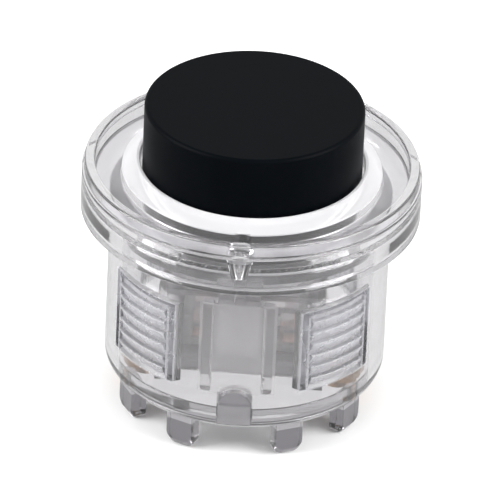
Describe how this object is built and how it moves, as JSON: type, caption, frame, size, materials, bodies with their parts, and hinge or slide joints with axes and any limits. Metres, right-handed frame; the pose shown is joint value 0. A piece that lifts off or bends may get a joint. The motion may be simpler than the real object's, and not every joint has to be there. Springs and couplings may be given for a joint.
{
  "type": "snap-in push button switch",
  "caption": "Round clear-bodied push button that snaps into a panel hole, with a black cap that springs back and terminals under its base.",
  "frame": {"origin": "on the press axis, in the plane of the bezel's underside where the panel's face lies", "axes": "+Z along the press axis, out of the panel towards the finger; +X towards the right-hand terminal; the front faces -Y"},
  "size_m": [0.0285, 0.0284, 0.0279],
  "materials": {
    "clear_plastic": "clear polished polycarbonate",
    "clear_cover": "clear moulded polycarbonate",
    "black_cap": "fine matte texture",
    "black_case": "moulded nylon",
    "natural_plastic": "natural acetal",
    "terminal_brass": "stamped and bright",
    "spring_copper": "rolled phosphor bronze",
    "silver_contact": "silver alloy",
    "spring_steel": "drawn wire",
    "damper_silicone": "soft translucent silicone"
  },
  "bodies": {
    "body": {"housing": "clear_plastic", "base": "clear_plastic", "switch_base": "black_case", "switch_cover": "clear_cover", "contact_holder": "natural_plastic", "terminal_left": "terminal_brass", "terminal_right": "terminal_brass", "terminal_rivets": "terminal_brass", "contact_blade_left": "spring_copper", "contact_blade_right": "spring_copper", "fixed_contact_left": "silver_contact", "fixed_contact_right": "silver_contact", "return_spring": "spring_steel", "upper_damper": "damper_silicone", "lower_damper": "damper_silicone"},
    "plunger": {"cap": "black_cap", "carrier": "clear_plastic", "stem": "natural_plastic", "contact_bridge": "spring_copper", "moving_contact_left": "silver_contact", "moving_contact_right": "silver_contact"}
  },
  "joints": [
    {"name": "press", "type": "slide", "parent": "body", "child": "plunger", "axis": [0, 0, 1], "range_m": [-0.0024, 0], "stiffness_N_per_m": 150, "springref_m": 0.004, "deforming": ["return_spring"]}
  ]
}
